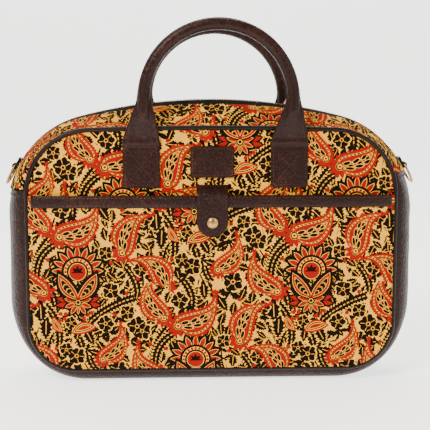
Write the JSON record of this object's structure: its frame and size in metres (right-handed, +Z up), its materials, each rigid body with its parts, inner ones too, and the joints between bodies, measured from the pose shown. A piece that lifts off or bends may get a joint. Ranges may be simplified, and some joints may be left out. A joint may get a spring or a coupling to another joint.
{
  "type": "laptop messenger bag",
  "caption": "Padded laptop bag in printed cotton with brown leather gusset, piping, rolled handles, zip top, front pocket with snap tab and side D-rings.",
  "frame": {"origin": "on the floor under the middle of the bag", "axes": "+Z up, +X to the viewer's right, the front pocket faces -Y"},
  "size_m": [0.4056, 0.11, 0.3539],
  "materials": {
    "printed_cotton": "printed canvas weave",
    "brown_leather": "pebbled, semi-gloss",
    "leather_piping": "smooth, semi-gloss",
    "black_leather": "smooth",
    "zip_tape": "woven tape",
    "antique_brass": "aged",
    "padding": "foam",
    "lining": "plain weave",
    "stiffener": "matte"
  },
  "bodies": {
    "bag": {"front_panel": "printed_cotton", "back_panel": "printed_cotton", "front_pocket": "printed_cotton", "top_gusset_front": "printed_cotton", "top_gusset_back": "printed_cotton", "pocket_band": "brown_leather", "side_gusset_left": "brown_leather", "side_gusset_right": "brown_leather", "handle_front": "brown_leather", "handle_back": "brown_leather", "front_patch": "brown_leather", "front_piping": "leather_piping", "back_piping": "leather_piping", "ring_loop_left": "black_leather", "ring_loop_right": "black_leather", "zip_tape_front": "zip_tape", "zip_tape_back": "zip_tape", "zip_teeth_front": "antique_brass", "zip_teeth_back": "antique_brass", "zip_stops": "antique_brass", "snap_stud": "antique_brass", "snap_stud_back": "antique_brass", "foam_front": "padding", "foam_back": "padding", "lining_front": "lining", "lining_back": "lining", "laptop_divider": "lining", "base_board": "stiffener"},
    "tab": {"snap_tab": "brown_leather", "snap_cap": "antique_brass", "snap_socket": "antique_brass"},
    "left_ring": {"d_ring_left": "antique_brass"},
    "right_ring": {"d_ring_right": "antique_brass"},
    "left_slider": {"zip_slider_left": "antique_brass"},
    "right_slider": {"zip_slider_right": "antique_brass"},
    "left_pull": {"zip_pull_left": "brown_leather"},
    "right_pull": {"zip_pull_right": "brown_leather"}
  },
  "joints": [
    {"name": "snap_tab_lift", "type": "hinge", "parent": "bag", "child": "tab", "pos_m": [0, -0.0444, 0.196], "axis": [-1, 0, 0], "range_deg": [0, 120]},
    {"name": "left_ring_swing", "type": "hinge", "parent": "bag", "child": "left_ring", "pos_m": [-0.19315, 0, 0.21149], "axis": [0, 1, 0], "range_deg": [0, 100]},
    {"name": "right_ring_swing", "type": "hinge", "parent": "bag", "child": "right_ring", "pos_m": [0.19315, 0, 0.21149], "axis": [0, -1, 0], "range_deg": [0, 100]},
    {"name": "left_slider_run", "type": "hinge", "parent": "bag", "child": "left_slider", "pos_m": [0, 0, -0.22954], "axis": [0, 1, 0], "range_deg": [-23.08, 0]},
    {"name": "right_slider_run", "type": "hinge", "parent": "bag", "child": "right_slider", "pos_m": [0, 0, -0.22954], "axis": [0, 1, 0], "range_deg": [0, 4.54]},
    {"name": "left_pull_flip", "type": "hinge", "parent": "left_slider", "child": "left_pull", "pos_m": [0.07803, 0, 0.27596], "axis": [0.9883, 0, -0.1526], "range_deg": [0, 140]},
    {"name": "right_pull_flip", "type": "hinge", "parent": "right_slider", "child": "right_pull", "pos_m": [0.08672, 0, 0.27454], "axis": [0.9855, 0, -0.1696], "range_deg": [0, 140]}
  ]
}
